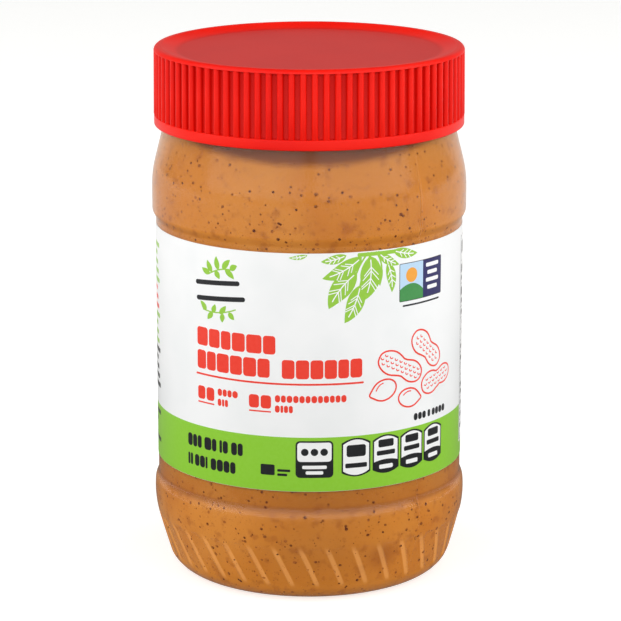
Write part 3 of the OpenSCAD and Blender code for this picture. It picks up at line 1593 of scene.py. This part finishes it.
@dataclass
class WrapLabel:
    """Film label wrapped once round the jar and lapped at the back, with its print."""

    low_z: float
    high_z: float
    panel_r: float = 35.78
    film: float = 0.1
    lap: float = 6.0
    lap_rise: float = 0.035
    lap_gap: float = 0.004
    under_dip: float = 0.01
    edge: float = 0.02
    step: float = 2.0
    level_h: float = 0.012
    print_bite: float = 0.008
    band_top: float = 12.8
    sheets: dict[tuple[Ink, int], list[Loop]] = field(default_factory=dict)

    @property
    def outer_r(self) -> float:
        """Outer radius where the label is one layer."""
        return self.panel_r + self.film

    @property
    def height(self) -> float:
        """Height of the label."""
        return self.high_z - self.low_z

    def skin(self, angle: np.ndarray) -> np.ndarray:
        """Outer radius at an angle in degrees, which rises over the lap at the back."""
        return self.outer_r + self.lap_rise * smooth(180 - 2 * self.lap, 180 - self.lap, angle)

    def lap_angles(self) -> np.ndarray:
        """Angles of the film's columns, from its hidden end to its free end."""
        return np.arange(-180 - self.lap, 180 + self.lap + self.step / 2, self.step)

    def film_sheet(self, white: Material) -> Object:
        """Build the film, whose last stretch lies over its first.

        Args:
            white: The film's finish.

        Returns:
            The film.
        """
        angles = self.lap_angles()
        under = angles < -180 + self.lap
        over = angles > 180 - self.lap
        out = np.where(under, self.outer_r - self.under_dip, self.skin(angles))
        inside = np.where(over, self.outer_r + self.lap_gap, self.panel_r)
        edge = self.edge
        theta = np.radians(angles)[None, :]
        r = np.stack([inside, out - edge, out, out, out - edge, inside])
        z = np.array([0, 0, edge, self.height - edge, self.height, self.height])[:, None]
        wide = len(angles)
        points = on_wall(theta, r, z + self.low_z)
        rows = len(r)
        faces = strips(range(rows), wide, rows)
        faces.append(tuple(k * wide for k in range(rows)))
        faces.append(tuple(k * wide + wide - 1 for k in range(rows - 1, -1, -1)))
        piece = mesh_object("label_wrap", points, faces)
        shell = bmesh.new()
        shell.from_mesh(piece.data)
        bmesh.ops.recalc_face_normals(shell, faces=shell.faces)
        shell.to_mesh(piece.data)
        shell.free()
        soften(piece, 30)
        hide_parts("label")
        return give(piece, white)

    def put(self, ink: Ink, level: int, *loops: Loop) -> None:
        """Add shapes in one ink at one level; a higher level covers a lower one."""
        self.sheets.setdefault((ink, level), []).extend(loops)

    def press(self, ink: Ink, level: int, loops: list[Loop]) -> Object:
        """Wrap one ink's shapes on the film as thin closed pads.

        Args:
            ink: The ink.
            level: The ink's place in the stack, from 1.
            loops: Outlines in millimetres round the film and above its lower edge.

        Returns:
            The dressed piece.
        """
        flat = bmesh.new()
        for loop in loops:
            flat.faces.new([flat.verts.new((u, 0.0, v)) for u, v in loop])
        bmesh.ops.remove_doubles(flat, verts=flat.verts, dist=1e-4)
        bmesh.ops.triangulate(flat, faces=flat.faces[:])
        reach = [corner.co.x for corner in flat.verts]
        pitch = math.radians(self.step) * self.outer_r
        first = math.ceil(min(reach) / pitch)
        last = math.floor(max(reach) / pitch)
        for k in range(first, last + 1):
            bmesh.ops.bisect_plane(
                flat,
                geom=flat.verts[:] + flat.edges[:] + flat.faces[:],
                dist=1e-5,
                plane_co=(k * pitch, 0, 0),
                plane_no=(1, 0, 0),
            )
        bottom = flat.verts[:]
        grown = bmesh.ops.extrude_face_region(flat, geom=flat.faces[:], use_keep_orig=True)
        top = [item for item in grown["geom"] if isinstance(item, bmesh.types.BMVert)]
        for corners, lift in ((bottom, -self.print_bite), (top, level * self.level_h)):
            for corner in corners:
                angle = corner.co.x / self.outer_r
                r = (self.skin(math.degrees(angle)) + lift) * MM
                z = (self.low_z + corner.co.z) * MM
                corner.co = (r * math.sin(angle), -r * math.cos(angle), z)
        bmesh.ops.recalc_face_normals(flat, faces=flat.faces)
        piece = mesh_object(f"print_{ink.name.lower()}_{level}", np.empty((0, 3)), [])
        flat.to_mesh(piece.data)
        flat.free()
        soften(piece, 30)
        return give(piece, PrintedInk(f"printed_{ink.name.lower()}_ink", ink.value).make())

    def words(
        self, ink: Ink, left: float, low: float, high: float, *widths: float, gap: float = 0.5
    ) -> None:
        """Set a line of plain blocks, one for each width; a negative width is a bare space.

        Args:
            ink: The ink.
            left: Where the line starts.
            low: The blocks' foot.
            high: The blocks' head.
            *widths: The widths, in order.
            gap: The space after each block.
        """
        u = left
        for width in widths:
            if width > 0:
                self.put(ink, 1 if ink is Ink.RED else 2, bar(u, u + width, low, high, 0.7))
            u += abs(width) + (gap if width > 0 else 0)

    def title(self) -> None:
        """Two lines of red blocks with a rule under them."""
        self.words(Ink.RED, -28.3, 32.0, 36.3, 3.3, 3.1, 2.6, 3.3, 3.7, 2.9, gap=0.35)
        self.words(Ink.RED, -28.3, 26.5, 30.9, 2.7, 2.6, 3.3, 3.1, 3.2, 2.9, gap=0.3)
        self.words(Ink.RED, -6.2, 26.5, 30.9, 2.9, 3.0, 2.9, 2.8, 2.5, 2.8, gap=0.3)
        self.put(Ink.RED, 1, bar(-28.7, 12.6, 25.0, 25.45, 0.2))

    def claims(self) -> None:
        """Two small groups of red blocks under the title."""
        for left, width in ((-28.2, 5.0), (-14.0, 5.3)):
            half = width / 2 - 0.2
            self.words(Ink.RED, left, 19.3, 22.4, half, half, gap=0.4)
            self.put(Ink.RED, 1, bar(left, left + width, 18.4, 18.75, 0.15))
        small = ((-22.2, 20.9, (1.2, 1.1, 1.1, 1.4)), (-22.2, 18.5, (1.0, 0.6, 0.8)),
                 (-7.8, 20.9, (1.2, 1.1, 1.3, 1.2, 1.2, 1.1, 1.3, 1.1, 1.2, 1.1, 1.1, 1.2)),
                 (-7.8, 18.5, (1.1, 0.6, 0.9, 0.9)))
        for left, low, widths in small:
            self.words(Ink.RED, left, low, low + 1.7, *widths, gap=0.2)

    def sprig(self) -> None:
        """A small sprig over two plain slanted bars."""
        for width, u, v in ((12.5, -22.4, 47.2), (13.6, -21.6, 43.6)):
            self.put(Ink.BLACK, 2, placed(bar(-width / 2, width / 2, -0.55, 0.55, 0.55), u, v, 5))
        stem = curve((-24.6, 49.0), (-21.0, 51.2), (-17.8, 50.6))
        self.put(Ink.LEAF_GREEN, 1, *stroke(stem, 0.3))
        pairs = (((-23.6, 49.6), (-25.0, 52.2)), ((-21.8, 50.3), (-22.4, 53.4)),
                 ((-20.6, 50.6), (-18.6, 53.0)), ((-20.0, 50.6), (-17.6, 48.6)),
                 ((-24.2, 49.2), (-26.6, 50.2)), ((-22.8, 49.9), (-21.5, 48.2)),
                 ((-18.6, 50.7), (-16.8, 51.8)))
        for base, tip in pairs:
            self.leaf(Leaf(base, tip, 1.4, 0.1, 0))
        foot = curve((-26.4, 40.6), (-22.0, 39.6), (-17.2, 41.6))
        self.put(Ink.LEAF_GREEN, 1, *stroke(foot, 0.3))
        low = (((-25.4, 40.4), (-27.2, 42.4)), ((-21.6, 40.2), (-19.8, 42.2)),
               ((-23.4, 40.1), (-25.0, 38.4)), ((-20.6, 40.3), (-20.8, 38.2)),
               ((-19.0, 40.8), (-17.6, 39.2)), ((-23.6, 40.2), (-22.8, 42.2)))
        for base, tip in low:
            self.leaf(Leaf(base, tip, 1.3, -0.1, 0))

    def leaf(self, leaf: Leaf, vein: float = 0.22) -> None:
        """Print one leaf, with its veins in white."""
        self.put(Ink.LEAF_GREEN, 1, leaf.blade())
        if leaf.veins:
            self.put(Ink.WHITE, 2, *leaf.ribs(vein))

    def branch(self) -> None:
        """A leafy twig that hangs from the label's upper edge, and a stray leaf beside it."""
        top = self.height - 0.25
        leaves = (
            Leaf((12.0, 54.3), (2.9, 49.7), 3.8, 0.14),
            Leaf((10.9, 50.8), (4.4, 42.7), 4.8, -0.14),
            Leaf((11.7, 47.9), (8.0, 39.3), 4.1, 0.12),
            Leaf((14.0, 54.4), (12.7, 44.3), 5.2, 0.16),
            Leaf((16.9, 51.6), (16.5, 47.2), 1.3, -0.1, 0),
            Leaf((18.4, 52.4), (19.6, 45.4), 2.5, 0.14, 3),
            Leaf((16.2, 54.8), (21.6, 51.6), 2.1, -0.12, 3),
            Leaf((20.0, 55.0), (26.9, 53.6), 2.4, -0.1, 3),
            Leaf((8.4, 54.9), (2.6, 53.6), 2.1, 0.1, 3),
        )
        for leaf in leaves:
            self.leaf(leaf, 0.26)
        stems = (((11.6, 47.7), (12.6, 52.0), (14.4, top)), ((10.8, 50.7), (11.6, 53.0), (13.6, top)),
                 ((16.9, 51.4), (16.8, 53.4), (15.4, top)), ((18.4, 52.2), (17.8, 53.8), (16.0, top)))
        for low, bend, high in stems:
            self.put(Ink.LEAF_GREEN, 1, *stroke(curve(low, bend, high), 0.4))
        self.put(Ink.LEAF_GREEN, 1, bar(11.0, 21.0, top - 0.9, top, 0.3))
        self.leaf(Leaf((-0.4, top - 0.1), (-4.6, 54.5), 1.1, 0.12, 2))

    def nuts(self) -> None:
        """Line drawings of three peanuts and two kernels."""
        shells = (
            (30.5, 30.6, PeanutShell(12.0, 6.3, 5.8), -42),
            (22.4, 27.6, PeanutShell(13.2, 6.4, 6.0), -26),
            (34.3, 22.8, PeanutShell(11.4, 6.0, 5.2), 11),
        )
        for u, v, shell, turn in shells:
            self.put(Ink.RED, 1, *stroke(placed(shell.outline(), u, v, turn), 0.4, True))
            for tick in shell.ticks():
                self.put(Ink.RED, 1, *stroke(placed(tick, u, v, turn), 0.26))
        kernels = ((17.7, 22.8, 3.3, 2.4, -1, 16), (24.8, 20.0, 3.2, 2.2, 1, -8))
        for u, v, half_u, half_v, point, turn in kernels:
            outline = placed(kernel(half_u, half_v, point), u, v, turn)
            self.put(Ink.RED, 1, *stroke(outline, 0.4, True))
            glint = curve((-half_u * 0.6, 0.5), (-half_u * 0.3, half_v * 0.75), (0.3, half_v * 0.68))
            self.put(Ink.RED, 1, *stroke(placed(glint, u, v, turn), 0.28))

    def badge(self) -> None:
        """A small panel of plain colour fields: a disc over a hill, and a dark field with bars."""
        left, split, right, low, high = 21.8, 28.8, 35.5, 42.9, 51.5
        self.put(Ink.BLACK, 1, bar(left - 0.15, right + 0.15, low - 0.15, high + 0.15, 0.3))
        self.put(Ink.SKY, 2, bar(left, split, low, high, 0.2))
        self.put(Ink.NAVY, 2, bar(split, right, low, high, 0.2))
        self.put(Ink.ORANGE, 3, oval(25.2, 48.7, 1.7, 1.7))
        hill = curve((left, 45.6), (25.6, 48.2), (split, 45.0))
        self.put(Ink.FOREST, 3, [(left, low), (split, low)] + hill[::-1])
        for k, (start, end) in enumerate(((29.8, 34.4), (30.3, 33.9), (29.8, 34.4), (30.3, 33.9))):
            v = 50.2 - 1.75 * k
            self.put(Ink.WHITE, 3, bar(start, end, v - 0.45, v + 0.45, 0.3))
        self.put(Ink.BLACK, 2, bar(22.6, 34.8, 41.55, 41.95, 0.2))

    def band(self) -> None:
        """The green band at the foot of the label, all the way round."""
        ends = [math.radians(a) * self.outer_r for a in (-180 + self.lap, 180 + self.lap - 0.01)]
        self.put(Ink.BAND_GREEN, 1, [
            (ends[0], 0.05), (ends[1], 0.05), (ends[1], self.band_top), (ends[0], self.band_top)
        ])

    def tabs(self) -> None:
        """The dark blocks and the white tabs on the green band."""
        self.words(Ink.BLACK, -31.9, 7.4, 10.4, 1.6, 1.4, 1.3, -0.7, 2.1, 1.3, -0.7, 0.7, 1.4, -0.7,
                   1.5, 1.3, gap=0.2)
        self.words(Ink.BLACK, -31.9, 2.9, 5.7, 0.7, 0.8, -0.5, 1.5, 1.6, 0.6, -0.8, 1.6, 1.7, 1.6,
                   1.4, gap=0.2)
        self.put(Ink.BLACK, 2, bar(-11.2, -7.9, 3.7, 6.2, 0.3), bar(-7.3, -4.3, 4.6, 5.2, 0.2),
                 bar(-7.3, -5.0, 3.6, 4.2, 0.2))
        self.put(Ink.BLACK, 2, bar(-3.1, 5.5, 3.3, 12.0, 1.0))
        self.put(Ink.WHITE, 3, bar(-2.7, 5.1, 7.1, 11.6, 0.7))
        for k in range(3):
            self.put(Ink.BLACK, 4, oval(-1.0 + 2.2 * k, 9.35, 0.85, 0.85))
        self.put(Ink.WHITE, 3, bar(-1.6, 4.0, 5.4, 6.2, 0.3), bar(-0.8, 3.2, 4.1, 4.9, 0.3))
        for k, left in enumerate((7.4, 14.85, 22.2, 29.55)):
            self.tab(left, left + 6.9, k > 0)

    def tab(self, left: float, right: float, capped: bool) -> None:
        """One white tab with arched ends and plain bars; a capped one has a dark foot.

        Args:
            left: Its left edge.
            right: Its right edge.
            capped: Whether it has the dark foot.
        """
        low, high = 3.1, 12.4
        middle = (left + right) / 2
        for level, ink, inset in ((2, Ink.BLACK, 0.0), (3, Ink.WHITE, 0.36)):
            a, b, u, v = left + inset, right - inset, high - inset, low + inset
            arch = curve((b, u - 1.2), (middle, u + 1.0), (a, u - 1.2))
            foot = curve((a, v + 1.1), (middle, v - 0.9), (b, v + 1.1))
            self.put(ink, level, foot + arch)
        if capped:
            foot = curve((left + 0.3, low + 1.2), (middle, low - 0.6), (right - 0.3, low + 1.2))
            lid = curve((right - 0.3, 6.0), (middle, 7.0), (left + 0.3, 6.0))
            self.put(Ink.BLACK, 4, foot + lid)
            self.put(Ink.WHITE, 5, bar(middle - 1.8, middle + 1.8, 4.3, 5.3, 0.3))
            self.put(Ink.BLACK, 4, bar(middle - 2.0, middle + 2.0, 9.4, 11.2, 0.4))
            self.put(Ink.BLACK, 4, bar(middle - 2.4, middle + 2.4, 7.5, 8.6, 0.3))
        else:
            self.put(Ink.BLACK, 4, bar(middle - 2.3, middle + 2.3, 7.9, 10.7, 0.6))
            self.put(Ink.BLACK, 4, bar(middle - 2.6, middle + 2.6, 5.3, 6.4, 0.3))

    def back(self) -> None:
        """A ruled panel, lines of fine print and a block of bars on the sides and the back."""
        self.words(Ink.BLACK, 26.2, 14.2, 15.9, 1.2, 1.2, 1.2, -0.5, 0.9, -0.5, 1.1, 1.2, 1.3, 1.2,
                   gap=0.2)
        left, right, low, high = 49.6, 78.6, 4.0, 53.0
        rules = [(left, low), (right, low), (right, high), (left, high)]
        self.put(Ink.WHITE, 2, bar(left - 0.6, right + 0.6, low - 0.6, high + 0.6, 0.5))
        self.put(Ink.BLACK, 3, *stroke(rules, 0.35, True))
        self.put(Ink.BLACK, 3, bar(left + 1.2, right - 6.0, 48.6, 51.6, 0.8))
        v = 46.8
        for k in range(15):
            thick = 0.9 if k in (1, 3, 11) else 0.16
            self.put(Ink.BLACK, 3, bar(left + 1.0, right - 1.0, v, v + thick, 0.05))
            indent = 2.0 if k in (5, 6, 9, 10) else 0.0
            end = left + 9.0 + 5.0 * abs(math.sin(2.1 * k))
            self.put(Ink.BLACK, 3, bar(left + 1.2 + indent, end, v - 1.9, v - 0.8, 0.3))
            self.put(Ink.BLACK, 3, bar(right - 4.6, right - 1.4, v - 1.9, v - 0.8, 0.3))
            v -= 2.75
        for k in range(17):
            v = 50.6 - 2.1 * k
            ink = Ink.LEAF_GREEN if k < 5 or 8 <= k < 12 else Ink.RED if k < 8 else Ink.BLACK
            end = -47.4 - 2.6 * (k * 3 % 4) / 3
            self.put(ink, 2 if ink is Ink.BLACK else 1, bar(-72.0, end, v, v + 1.1, 0.3))
        for k in range(4):
            v = 10.4 - 2.2 * k
            self.put(Ink.BLACK, 2, bar(-72.0, -47.6 - 4.0 * (k % 3), v, v + 1.0, 0.2))
        self.put(Ink.WHITE, 2, bar(-104.0, -80.0, 3.0, 24.0, 0.6))
        u = -102.0
        for k in range(27):
            width = (0.3, 0.65, 0.3, 0.95, 0.45)[k * 7 % 5]
            self.put(Ink.BLACK, 3, bar(u, u + width, 5.0, 22.0, 0.02))
            u += width + (0.35, 0.55, 0.3)[k * 5 % 3]
        self.words(Ink.RED, -104.0, 44.0, 48.0, 6.0, 4.0, 5.0, gap=0.8)
        for k in range(6):
            v = 40.0 - 2.2 * k
            self.put(Ink.BLACK, 2, bar(-104.0, -84.0 + 3.0 * math.cos(1.3 * k), v, v + 1.0, 0.3))

    def build(self, white: Material) -> list[Object]:
        """Build the film and all of its print.

        Args:
            white: The film's finish.

        Returns:
            The film and one piece for each ink at each level.
        """
        parts = (self.title, self.claims, self.sprig, self.branch, self.nuts, self.badge,
                 self.band, self.tabs, self.back)
        for part in parts:
            part()
        pieces = [self.film_sheet(white)]
        for (ink, level), loops in self.sheets.items():
            pieces.append(self.press(ink, level, loops))
        return pieces


# ---------------------------------------------------------------- studio


@dataclass
class Softbox:
    """A flat lamp with an even face, aimed at the jar."""

    name: str
    azimuth: float
    elevation: float
    distance: float
    width: float
    height: float
    radiance: float
    mirrored: bool = True

    def build(self, aim: float) -> None:
        """Hang the lamp.

        Args:
            aim: Height of the point that it faces, in metres.
        """
        a, e = math.radians(self.azimuth), math.radians(self.elevation)
        reach = self.distance * math.cos(e)
        lamp = bpy.data.lights.new(self.name, "AREA")
        lamp.shape = "RECTANGLE"
        lamp.size = self.width
        lamp.size_y = self.height
        lamp.energy = self.radiance * self.width * self.height * math.pi
        holder = bpy.data.objects.new(self.name, lamp)
        bpy.context.scene.collection.objects.link(holder)
        place = (reach * math.sin(a), -reach * math.cos(a), aim + self.distance * math.sin(e))
        holder.location = place
        holder.visible_glossy = self.mirrored
        away = np.array([place[0], place[1], place[2] - aim])
        flat = math.hypot(away[0], away[1])
        holder.rotation_euler = (math.atan2(flat, away[2]), 0, math.atan2(away[0], -away[1]))


@dataclass
class Studio:
    """Pale floor, softboxes in front and at the sides, a dim surround and the camera."""

    floor_half: float = 4.0
    foot_card: float = 1.0
    card_drop: float = 0.0002
    aim: float = 0.07
    camera_y: float = -0.71406
    camera_z: float = 0.23936
    camera_x: float = 0.0003
    pitch: float = 14.0
    lens: float = 181.0
    surround: str = "#66665F"
    surround_strength: float = 1.0
    boxes: tuple[Softbox, ...] = (
        Softbox("softbox_left", -41.5, 26, 1.3, 2.1, 1.05, 1.7),
        Softbox("softbox_right", 42.5, 26, 1.3, 2.1, 1.05, 1.7),
        Softbox("top_left", -82, 60, 1.3, 0.9, 0.75, 0.85),
        Softbox("top_right", 82, 60, 1.3, 0.9, 0.75, 0.85),
        Softbox("side_left", -98, 14, 1.3, 1.3, 1.1, 2.05, False),
        Softbox("side_right", 98, 14, 1.3, 1.3, 1.1, 2.05, False),
        Softbox("backdrop_glow", 180, 15, 2.6, 3.6, 1.2, 0.32),
    )

    def build(self) -> None:
        """Set up the floor, the light and the camera."""
        scene = bpy.context.scene
        scene.view_settings.view_transform = "Standard"
        scene.view_settings.look = "None"
        paper = PaperFloor().make()
        far = self.disc("floor", self.foot_card, self.floor_half, 0.0, paper)
        near = self.disc("floor_near", 0.0, self.foot_card, 0.0, paper)
        near.visible_diffuse = False
        near.visible_glossy = False
        near.visible_shadow = False
        # The table as only the jar sees it: a glowing card with a painted shadow at the jar's foot.
        card = self.disc("foot_card", 0.0, self.foot_card, -self.card_drop, GreyTable().make())
        card.visible_camera = False
        for box in self.boxes:
            box.build(self.aim)
        world = bpy.data.worlds.new("dim_surround")
        world.use_nodes = True
        back = world.node_tree.nodes["Background"]
        back.inputs["Color"].default_value = linear(self.surround)
        back.inputs["Strength"].default_value = self.surround_strength
        scene.world = world
        camera = bpy.data.objects.new("camera", bpy.data.cameras.new("camera"))
        scene.collection.objects.link(camera)
        camera.data.lens = self.lens
        camera.location = (self.camera_x, self.camera_y, self.camera_z)
        camera.rotation_euler = (math.radians(90 - self.pitch), 0, 0)
        scene.camera = camera

    def disc(self, name: str, inner: float, outer: float, z: float, finish: Material) -> Object:
        """Lay a flat ring or disc about the axis.

        Args:
            name: The object's name.
            inner: Its inner radius in metres.
            outer: Its outer radius in metres.
            z: Its height in metres.
            finish: Its material.

        Returns:
            The object.
        """
        rows = [Row(outer / MM, z / MM), Row(inner / MM, z / MM)]
        piece = turned(name, rows, np.linspace(-180, 180, 97))
        piece.data.materials.append(finish)
        return piece


def main() -> None:
    """Build the jar, its filling, cap and label, and the studio round them."""
    logging.basicConfig(level=logging.INFO, format="%(name)s %(message)s")
    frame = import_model()
    LOG.info("frame holds %s", sorted(frame["nodes"]))
    Studio().build()
    jar_low, jar_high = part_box("jar")
    lid_low, lid_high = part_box("lid")
    label_low, label_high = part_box("label")
    jar = ClearJar(bulge_r=(jar_high[0] - jar_low[0]) / 2 / MM, mouth_z=jar_high[2] / MM)
    label_z = (label_low[2] / MM, label_high[2] / MM)
    cap = ScrewCap(low_z=lid_low[2] / MM, top_z=lid_high[2] / MM, seat_z=jar.mouth_z)
    pieces = [
        jar.build(ClearPolyester().make()),
        *PeanutButter(jar, label_z).build(PeanutPaste().make(), RoastedSkin().make()),
        cap.build(MouldedCap().make()),
        *WrapLabel(*label_z).build(LabelFilm().make()),
    ]
    LOG.info("%d pieces", len(pieces))


if __name__ == "__main__":
    main()
